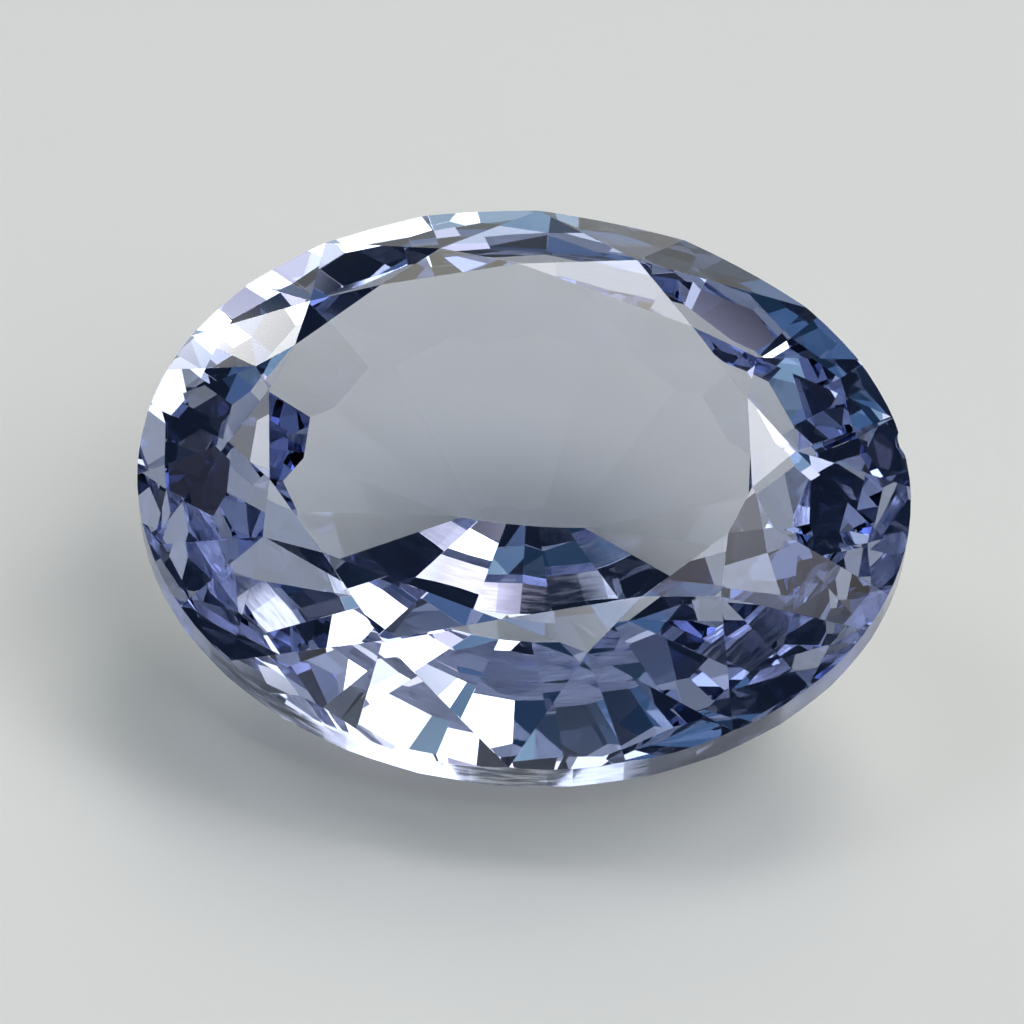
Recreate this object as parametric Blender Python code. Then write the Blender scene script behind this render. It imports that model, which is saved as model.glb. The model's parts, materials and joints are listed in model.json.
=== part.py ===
"""An oval cut blue sapphire: one solid, lying on a facet of its pavilion with the table leaning to the front.

The cutting plan is laid out on a round stone, and the stone is then narrowed across its width. Narrowing
keeps every facet flat, and it makes the long sides steeper than the two ends, as they are on an oval. The
keel facets at the bottom come last. They are equally steep all round, so they meet in a short ridge.
Azimuths run anticlockwise from the right-hand end, seen from above the table. The stone is cut in
millimetres and becomes metres at the end.
"""

import math

import bmesh
import bpy
from mathutils import Matrix, Vector

# Sizes of the cut stone, in millimetres
LENGTH = 10.0
WIDTH = 8.3
CROWN_HEIGHT = 1.20
GIRDLE_THICKNESS = 0.50
PAVILION_DEPTH = 2.90
GIRDLE_SIDES = 96

# Crown plan: azimuths of the table's corners over half a turn, which the other half repeats. The corners'
# distance from the middle is a share of the radius, and the stars reach down a share of the crown
TABLE_CORNERS = (-25.0, -9.0, 20.0, 46.0, 92.0, 126.0)
TABLE_SHARE = 0.632
TABLE_OFFSET = (-0.20, -0.10)
STAR_DROP = 0.19

# Pavilion plan, from the girdle down: each tier's number of facets, the azimuth of its first one, and where
# the tier ends, as shares of the radius and of the pavilion's depth. The keel facets take what is left
FRONT = -90.0
PAVILION_TIERS = ((32, FRONT + 5.625, 0.84, 0.28), (16, FRONT + 11.25, 0.60, 0.61))
KEEL_FACETS = 16

# Chips out of the girdle: azimuth, height, radius of the scoop and how deep it bites
CHIPS = ((14.8, 0.06, 0.30, 0.15), (-3.6, -0.22, 0.14, 0.07))

# Working sizes
RADIUS = LENGTH / 2
GIRDLE_TOP = GIRDLE_THICKNESS / 2
GIRDLE_FOOT = -GIRDLE_THICKNESS / 2
TABLE_HEIGHT = GIRDLE_TOP + CROWN_HEIGHT
SNAP = 0.001
METRES_PER_MM = 0.001


def polar(radius, azimuth, height):
    """A point of the round plan, with its azimuth in degrees."""
    turn = math.radians(azimuth)
    return Vector((radius * math.cos(turn), radius * math.sin(turn), height))


def cut(stone, a, b, c):
    """Grinds one facet: the plane through three points takes away what lies outside it."""
    normal = (b - a).cross(c - a).normalized()
    if normal.dot(a) < 0:
        normal = -normal
    everything = stone.verts[:] + stone.edges[:] + stone.faces[:]
    result = bmesh.ops.bisect_plane(
        stone, geom=everything, dist=SNAP, plane_co=a, plane_no=normal, clear_outer=True
    )
    rim = [item for item in result["geom_cut"] if isinstance(item, bmesh.types.BMEdge)]
    rim = [edge for edge in rim if len(edge.link_faces) == 1]
    if len(rim) > 2:
        bmesh.ops.contextual_create(stone, geom=rim)


def cut_level(stone, outer, inner, azimuth):
    """Grinds a main facet, which runs level across its azimuth."""
    cut(stone, outer, inner, outer + polar(1, azimuth + 90, 0))


def level_plane(outer, inner, azimuth):
    """A main facet's plane, as a point and a normal."""
    return outer, polar(1, azimuth + 90, 0).cross(inner - outer).normalized()


def shared_point(first, second, height):
    """Where two planes meet at one height."""
    rows = Matrix((first[1], second[1], Vector((0, 0, 1))))
    return rows.inverted() @ Vector((first[0].dot(first[1]), second[0].dot(second[1]), height))


def cut_crown(stone):
    """A kite-shaped main under each table corner, stars between them, and two facets by the girdle."""
    azimuths = list(TABLE_CORNERS) + [corner + 180 for corner in TABLE_CORNERS]
    count = len(azimuths)
    offset = Vector((*TABLE_OFFSET, 0))
    corners = [polar(TABLE_SHARE * RADIUS, azimuth, TABLE_HEIGHT) + offset for azimuth in azimuths]
    rims = [polar(RADIUS, azimuth, GIRDLE_TOP) for azimuth in azimuths]
    planes = [level_plane(rims[i], corners[i], azimuths[i]) for i in range(count)]
    star_height = TABLE_HEIGHT - STAR_DROP * CROWN_HEIGHT
    for i in range(count):
        cut_level(stone, rims[i], corners[i], azimuths[i])
    for i in range(count):
        j = (i + 1) % count
        gap = (azimuths[j] - azimuths[i]) % 360
        middle = polar(RADIUS, azimuths[i] + gap / 2, GIRDLE_TOP)
        meet = shared_point(planes[i], planes[j], star_height)
        cut(stone, rims[i], middle, meet)
        cut(stone, middle, rims[j], meet)
        cut(stone, corners[i], corners[j], meet)
    cut(stone, corners[0], corners[count // 3], corners[2 * count // 3])


def cut_pavilion(stone):
    """Tiers that get flatter towards the keel, as on a stone cut to keep its weight."""
    outer_radius = RADIUS
    outer_height = GIRDLE_FOOT
    for count, first, radius_share, depth_share in PAVILION_TIERS:
        inner_radius = radius_share * RADIUS
        inner_height = GIRDLE_FOOT - depth_share * PAVILION_DEPTH
        for i in range(count):
            azimuth = first + 360 / count * i
            outer = polar(outer_radius, azimuth, outer_height)
            cut_level(stone, outer, polar(inner_radius, azimuth, inner_height), azimuth)
        outer_radius = inner_radius
        outer_height = inner_height


def keel_angle():
    """How steep the keel facets are: those across the width meet at the pavilion's full depth."""
    share, depth_share = PAVILION_TIERS[-1][2:]
    return math.atan2((1 - depth_share) * PAVILION_DEPTH, share * WIDTH / 2)


def cut_keel(stone):
    """Facets that touch the oval where the last tier ends, and meet in a ridge along the stone."""
    share, depth_share = PAVILION_TIERS[-1][2:]
    half_length = share * LENGTH / 2
    half_width = share * WIDTH / 2
    height = GIRDLE_FOOT - depth_share * PAVILION_DEPTH
    fall = Vector((0, 0, -math.tan(keel_angle())))
    for i in range(KEEL_FACETS):
        azimuth = FRONT + 360 / KEEL_FACETS * i
        outward = polar(1, azimuth, 0)
        reach = math.hypot(half_length * outward.x, half_width * outward.y)
        touch = Vector((half_length**2 * outward.x / reach, half_width**2 * outward.y / reach, height))
        cut_level(stone, touch, touch - outward + fall, azimuth)


def cut_stone():
    stone = bmesh.new()
    bmesh.ops.create_cone(
        stone, cap_ends=True, segments=GIRDLE_SIDES, radius1=RADIUS, radius2=RADIUS, depth=2 * LENGTH
    )
    cut_crown(stone)
    cut_pavilion(stone)
    bmesh.ops.scale(stone, vec=(1, WIDTH / LENGTH, 1), verts=stone.verts)
    cut_keel(stone)
    return stone


def chipped(stone):
    """The mesh of the stone with a shallow scoop taken out of the girdle for each chip."""
    mesh = bpy.data.meshes.new("sapphire")
    stone.to_mesh(mesh)
    stone.free()
    blank = bpy.data.objects.new("blank", mesh)
    bpy.context.scene.collection.objects.link(blank)
    scoops = []
    for azimuth, height, radius, bite in CHIPS:
        rim = polar(RADIUS, azimuth, height)
        rim.y *= WIDTH / LENGTH
        outward = Vector((rim.x, rim.y * (LENGTH / WIDTH) ** 2, 0)).normalized()
        ball = bmesh.new()
        bmesh.ops.create_icosphere(ball, subdivisions=2, radius=radius)
        bmesh.ops.translate(ball, vec=rim + outward * (radius - bite), verts=ball.verts)
        scoop_mesh = bpy.data.meshes.new("scoop")
        ball.to_mesh(scoop_mesh)
        ball.free()
        scoop = bpy.data.objects.new("scoop", scoop_mesh)
        bpy.context.scene.collection.objects.link(scoop)
        scoop.hide_render = True
        scoop.display_type = "WIRE"
        modifier = blank.modifiers.new("chip", "BOOLEAN")
        modifier.operation = "DIFFERENCE"
        modifier.object = scoop
        scoops.append(scoop)
    bpy.context.view_layer.update()
    graph = bpy.context.evaluated_depsgraph_get()
    finished = bpy.data.meshes.new_from_object(blank.evaluated_get(graph))
    for helper in scoops + [blank]:
        bpy.data.objects.remove(helper)
    return finished


def lay_down(mesh):
    """Turns the stone onto the keel facet at the front, and sets its middle over the origin."""
    mesh.transform(Matrix.Rotation(keel_angle(), 4, "X"))
    lows = [min(vertex.co[axis] for vertex in mesh.vertices) for axis in range(3)]
    highs = [max(vertex.co[axis] for vertex in mesh.vertices) for axis in range(3)]
    shift = Vector((-(lows[0] + highs[0]) / 2, -(lows[1] + highs[1]) / 2, -lows[2]))
    mesh.transform(Matrix.Translation(shift))
    mesh.transform(Matrix.Scale(METRES_PER_MM, 4))


def sapphire_material():
    material = bpy.data.materials.new("sapphire")
    material.use_nodes = True
    shader = material.node_tree.nodes["Principled BSDF"]
    shader.inputs["Base Color"].default_value = (0.30, 0.34, 0.62, 1)
    shader.inputs["Roughness"].default_value = 0.02
    shader.inputs["Metallic"].default_value = 0.0
    shader.inputs["IOR"].default_value = 1.765
    shader.inputs["Transmission Weight"].default_value = 1.0
    return material


def main():
    for leftover in list(bpy.data.objects):
        bpy.data.objects.remove(leftover)
    mesh = chipped(cut_stone())
    lay_down(mesh)
    mesh.name = "sapphire"
    mesh.materials.clear()
    mesh.materials.append(sapphire_material())
    sapphire = bpy.data.objects.new("sapphire", mesh)
    bpy.context.scene.collection.objects.link(sapphire)


main()
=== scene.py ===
"""The looks of the oval cut sapphire: clear polished corundum with a ground girdle, in soft studio light."""

import json
import math

import bmesh
import bpy
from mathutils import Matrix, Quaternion, Vector


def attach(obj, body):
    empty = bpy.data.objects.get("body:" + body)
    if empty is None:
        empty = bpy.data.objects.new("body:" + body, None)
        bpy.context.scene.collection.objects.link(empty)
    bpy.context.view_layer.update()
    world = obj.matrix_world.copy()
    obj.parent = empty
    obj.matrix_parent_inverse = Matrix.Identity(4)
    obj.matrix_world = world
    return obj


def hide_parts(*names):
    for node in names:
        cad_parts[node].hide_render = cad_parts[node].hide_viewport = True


MM = 0.001

# Optics of corundum, and how strongly this pale violet-blue stone absorbs, per metre
CORUNDUM_IOR = 1.765
ABSORPTION_COLOUR = (0.09, 0.24, 0.68, 1)
ABSORPTION_DENSITY = 60.0

# Polish: the haziest a facet gets, the span of the noise that brings it on, and the noise's scale per metre
FACET_HAZE = 0.02
HAZE_SPAN = (0.60, 0.75)
HAZE_SCALE = 420.0

# Girdle: its least and most roughness, the span of the noise between them, the noise's scale per metre, and
# how many times the height is added to squeeze the noise into streaks
GIRDLE_ROUGHNESS = (0.03, 0.25)
GRINDING_SPAN = (0.3, 0.7)
GRINDING_SCALE = 2500.0
GRINDING_SQUEEZE = 6.0
WEAR_DETAIL = 1.0

# Mesh: the width of the flats along worn edges, and what counts as one point, as flat, as an edge that
# wears, and as girdle
EDGE_WEAR = 0.010 * MM
WELD = 0.0002 * MM
FLAT_ANGLE = math.radians(0.4)
WORN_ANGLE = math.radians(3)
GIRDLE_TILT = 0.06

# The floor lies a hair below the stone, so that the facet it rests on still mirrors as polished stone does
FLOOR_SIZE = 3.0
FLOOR_GAP = 0.01 * MM
FLOOR_DARK = (0.83, 0.85, 0.80, 1)
FLOOR_LIGHT = (0.87, 0.89, 0.84, 1)
FLOOR_ROUGHNESS = 0.55
CLOUD_SCALE = 60.0
CLOUD_DETAIL = 3.0

# The room is dim above a pale skirting, whose top and fade are elevations in degrees
ROOM_LIGHT = (0.010, 0.016, 0.030, 1)
SKIRTING_LIGHT = (0.50, 0.52, 0.50, 1)
SKIRTING_TOP = 5
SKIRTING_FADE = 5

# Soft boxes: azimuth, elevation and radius in degrees, and light. The large ones behind and at both sides
# light the floor. Small ones make the flashes in the stone, and dim ones around the camera its dark facets.
# The first seven rows are rounded from a least-squares fit of test lights to the photo, and were not chosen
# by hand. The directions of most others come from the same test lights, with strengths set one by one
SOFT_BOX_FADE = 5
SOFT_BOXES = (
    (110, 55, 10, (3.8, 3.8, 4.0)),
    (145, 68, 10, (2.2, 2.0, 2.2)),
    (165, 50, 10, (3.8, 3.7, 3.5)),
    (180, 36, 10, (1.8, 1.8, 1.5)),
    (-110, 53, 10, (2.0, 2.1, 2.3)),
    (80, 45, 10, (2.2, 2.2, 2.3)),
    (60, 62, 10, (1.6, 1.5, 1.6)),
    (-143, 12, 2, (9.0, 9.0, 9.0)),
    (45, 38, 9, (2.4, 2.4, 2.3)),
    (15, 31, 10, (0.04, 0.04, 0.05)),
    (25, 51, 10, (0.4, 0.6, 0.7)),
    (28, 49, 4, (5.5, 5.5, 5.5)),
    (5, 71, 10, (0.12, 0.2, 0.35)),
    (-27, 58, 10, (0.02, 0.05, 0.09)),
    (-60, 48, 10, (0.1, 0.2, 0.35)),
)

# Camera: where it looks from, in degrees and metres, and how far off the girdle's middle it aims
CAMERA_AZIMUTH = 2.05
CAMERA_ELEVATION = 35.99
CAMERA_ROLL = 3.69
CAMERA_DISTANCE = 0.070
CAMERA_LENS = 190.65
CAMERA_NEAR = 0.001
CAMERA_FAR = 10
GIRDLE_MIDDLE = Vector((0.0, -0.1102, 3.0956)) * MM
AIM_ASIDE = -0.156 * MM
AIM_BELOW = -0.402 * MM

# How often light may bounce in the stone, and on the floor
STONE_BOUNCES = 14
FLOOR_BOUNCES = 2


def direction(azimuth, elevation):
    """Unit vector towards a place seen from the stone. Azimuth 0 is the front, and 90 is the right."""
    turn = math.radians(azimuth)
    rise = math.radians(elevation)
    return Vector((math.sin(turn) * math.cos(rise), -math.cos(turn) * math.cos(rise), math.sin(rise)))


class Nodes:
    """A short way to add nodes to a tree and to link them."""

    def __init__(self, tree):
        self.tree = tree
        tree.nodes.clear()

    def feed(self, socket, value):
        """Links a value that comes from a node, or else sets it on the socket."""
        if isinstance(value, bpy.types.NodeSocket):
            self.tree.links.new(value, socket)
        else:
            socket.default_value = value

    def add(self, kind, inputs=None, **settings):
        node = self.tree.nodes.new(kind)
        for name, value in settings.items():
            setattr(node, name, value)
        for name, value in (inputs or {}).items():
            self.feed(node.inputs[name], value)
        return node

    def math(self, operation, first, second=0.0):
        return self.add("ShaderNodeMath", {0: first, 1: second}, operation=operation).outputs[0]

    def dot(self, first, second):
        node = self.add("ShaderNodeVectorMath", {0: first, 1: second}, operation="DOT_PRODUCT")
        return node.outputs["Value"]

    def mix(self, factor, first, second):
        """Mixes two colours. The node repeats its sockets for each type, so they go by number."""
        node = self.add("ShaderNodeMix", data_type="RGBA")
        self.feed(node.inputs[0], factor)
        self.feed(node.inputs[6], first)
        self.feed(node.inputs[7], second)
        return node.outputs[2]

    def noise(self, place, scale, detail):
        node = self.add("ShaderNodeTexNoise", {"Vector": place, "Scale": scale, "Detail": detail})
        return node.outputs["Fac"]

    def ramp(self, value, span, at_low, at_high, **settings):
        """Goes from one number to another while the value crosses the span."""
        ends = {"From Min": span[0], "From Max": span[1], "To Min": at_low, "To Max": at_high}
        return self.add("ShaderNodeMapRange", {"Value": value, **ends}, **settings).outputs[0]

    def step(self, value, span):
        """Goes from 0 to 1 with soft ends."""
        return self.ramp(value, span, 0.0, 1.0, interpolation_type="SMOOTHSTEP")


def new_material(name):
    material = bpy.data.materials.new(name)
    material.use_nodes = True
    return material, Nodes(material.node_tree)


def new_object(name, mesh):
    thing = bpy.data.objects.new(name, mesh)
    bpy.context.scene.collection.objects.link(thing)
    return thing


def sapphire_material(axis):
    """Clear facets with a breath of handling haze, and a ground girdle, which its normals tell apart."""
    material, nodes = new_material("sapphire_polish")
    normal = nodes.add("ShaderNodeNewGeometry").outputs["True Normal"]
    place = nodes.add("ShaderNodeTexCoord").outputs["Object"]
    tilt = nodes.math("ABSOLUTE", nodes.dot(normal, axis))
    girdle = nodes.math("LESS_THAN", tilt, GIRDLE_TILT)

    # Grinding marks run round the girdle: the noise is squeezed along the stone's axis
    height = nodes.dot(place, axis)
    lift = nodes.add("ShaderNodeVectorMath", {0: axis, "Scale": height}, operation="SCALE").outputs[0]
    squeeze = (GRINDING_SQUEEZE, GRINDING_SQUEEZE, GRINDING_SQUEEZE)
    streaks = nodes.add(
        "ShaderNodeVectorMath", {0: lift, 1: squeeze, 2: place}, operation="MULTIPLY_ADD"
    ).outputs[0]
    grinding = nodes.noise(streaks, GRINDING_SCALE, WEAR_DETAIL)
    ground = nodes.ramp(grinding, GRINDING_SPAN, *GIRDLE_ROUGHNESS)
    haze = nodes.ramp(nodes.noise(place, HAZE_SCALE, WEAR_DETAIL), HAZE_SPAN, 0.0, FACET_HAZE)
    roughness = nodes.add("ShaderNodeMix", {"Factor": girdle, "A": haze, "B": ground}, data_type="FLOAT")

    shader = nodes.add(
        "ShaderNodeBsdfPrincipled",
        {
            "Base Color": (1, 1, 1, 1),
            "Roughness": roughness.outputs["Result"],
            "IOR": CORUNDUM_IOR,
            "Transmission Weight": 1.0,
        },
    )
    volume = nodes.add(
        "ShaderNodeVolumeAbsorption", {"Color": ABSORPTION_COLOUR, "Density": ABSORPTION_DENSITY}
    )
    nodes.add("ShaderNodeOutputMaterial", {"Surface": shader.outputs[0], "Volume": volume.outputs[0]})
    return material


def polished_stone(node, axis):
    """The stone with its facet edges worn to narrow flats and its girdle rounded smooth."""
    form = bmesh.new()
    form.from_mesh(node.data)
    bmesh.ops.remove_doubles(form, verts=form.verts, dist=WELD)
    bmesh.ops.dissolve_limit(form, angle_limit=FLAT_ANGLE, verts=form.verts, edges=form.edges)
    worn = [edge for edge in form.edges if edge.calc_face_angle(0) > WORN_ANGLE]
    bmesh.ops.bevel(form, geom=worn, offset=EDGE_WEAR, segments=1, affect="EDGES", clamp_overlap=True)
    for face in form.faces:
        face.smooth = abs(face.normal.dot(axis)) < GIRDLE_TILT
    mesh = bpy.data.meshes.new("sapphire_polished")
    form.to_mesh(mesh)
    form.free()
    mesh.materials.append(sapphire_material(axis))
    return new_object("sapphire_polished", mesh)


def floor():
    """A matt floor with a faint cloudiness."""
    material, nodes = new_material("floor_matt")
    place = nodes.add("ShaderNodeTexCoord").outputs["Object"]
    colour = nodes.mix(nodes.noise(place, CLOUD_SCALE, CLOUD_DETAIL), FLOOR_DARK, FLOOR_LIGHT)
    shader = nodes.add("ShaderNodeBsdfPrincipled", {"Base Color": colour, "Roughness": FLOOR_ROUGHNESS})
    nodes.add("ShaderNodeOutputMaterial", {"Surface": shader.outputs[0]})
    half = FLOOR_SIZE / 2
    corners = [(x * half, y * half, -FLOOR_GAP) for x, y in ((-1, -1), (1, -1), (1, 1), (-1, 1))]
    mesh = bpy.data.meshes.new("floor")
    mesh.from_pydata(corners, [], [(0, 1, 2, 3)])
    mesh.materials.append(material)
    new_object("floor", mesh)


def surroundings():
    """A dim room with a pale skirting and soft boxes, as directions on the world's sphere."""
    world = bpy.data.worlds.new("studio")
    bpy.context.scene.world = world
    world.use_nodes = True
    nodes = Nodes(world.node_tree)
    towards = nodes.add("ShaderNodeTexCoord").outputs["Generated"]
    height = nodes.add("ShaderNodeSeparateXYZ", {0: towards}).outputs["Z"]
    skirting = [math.sin(math.radians(rise)) for rise in (SKIRTING_TOP, SKIRTING_TOP + SKIRTING_FADE)]
    colour = nodes.mix(nodes.step(height, skirting), SKIRTING_LIGHT, ROOM_LIGHT)
    for azimuth, elevation, radius, light in SOFT_BOXES:
        rim = [math.cos(math.radians(reach)) for reach in (radius + SOFT_BOX_FADE, radius)]
        inside = nodes.step(nodes.dot(towards, direction(azimuth, elevation)), rim)
        colour = nodes.mix(inside, colour, (*light, 1))
    background = nodes.add("ShaderNodeBackground", {"Color": colour})
    nodes.add("ShaderNodeOutputWorld", {"Surface": background.outputs[0]})


def camera():
    """A long lens at the photo's angle, with a slight roll."""
    data = bpy.data.cameras.new("camera")
    data.lens = CAMERA_LENS
    data.clip_start = CAMERA_NEAR
    data.clip_end = CAMERA_FAR
    back = direction(CAMERA_AZIMUTH, CAMERA_ELEVATION)
    turn = (-back).to_track_quat("-Z", "Y") @ Quaternion((0, 0, 1), math.radians(CAMERA_ROLL))
    eye = new_object("camera", data)
    eye.rotation_mode = "QUATERNION"
    eye.rotation_quaternion = turn
    eye.location = GIRDLE_MIDDLE + turn @ Vector((AIM_ASIDE, AIM_BELOW, 0)) + back * CAMERA_DISTANCE
    bpy.context.scene.camera = eye


def render_quality():
    """Enough bounces for the light to cross the stone, and colours as they come."""
    scene = bpy.context.scene
    scene.cycles.max_bounces = STONE_BOUNCES
    scene.cycles.transmission_bounces = STONE_BOUNCES
    scene.cycles.glossy_bounces = STONE_BOUNCES
    scene.cycles.diffuse_bounces = FLOOR_BOUNCES
    scene.view_settings.view_transform = "Standard"


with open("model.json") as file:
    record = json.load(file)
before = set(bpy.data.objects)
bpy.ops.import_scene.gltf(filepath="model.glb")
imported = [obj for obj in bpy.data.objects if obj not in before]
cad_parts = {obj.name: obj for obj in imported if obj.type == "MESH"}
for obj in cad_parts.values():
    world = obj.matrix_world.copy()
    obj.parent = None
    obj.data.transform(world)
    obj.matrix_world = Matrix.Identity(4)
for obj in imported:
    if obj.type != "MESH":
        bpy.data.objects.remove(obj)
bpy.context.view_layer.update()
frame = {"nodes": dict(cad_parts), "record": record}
mounts = {mount["name"]: mount for mount in frame["record"]["mounts"]}
table_normal = Vector(mounts["table_facet"]["axis"]).normalized()

stone = polished_stone(frame["nodes"]["sapphire"], table_normal)
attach(stone, "root")
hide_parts("sapphire")

floor()
surroundings()
camera()
render_quality()
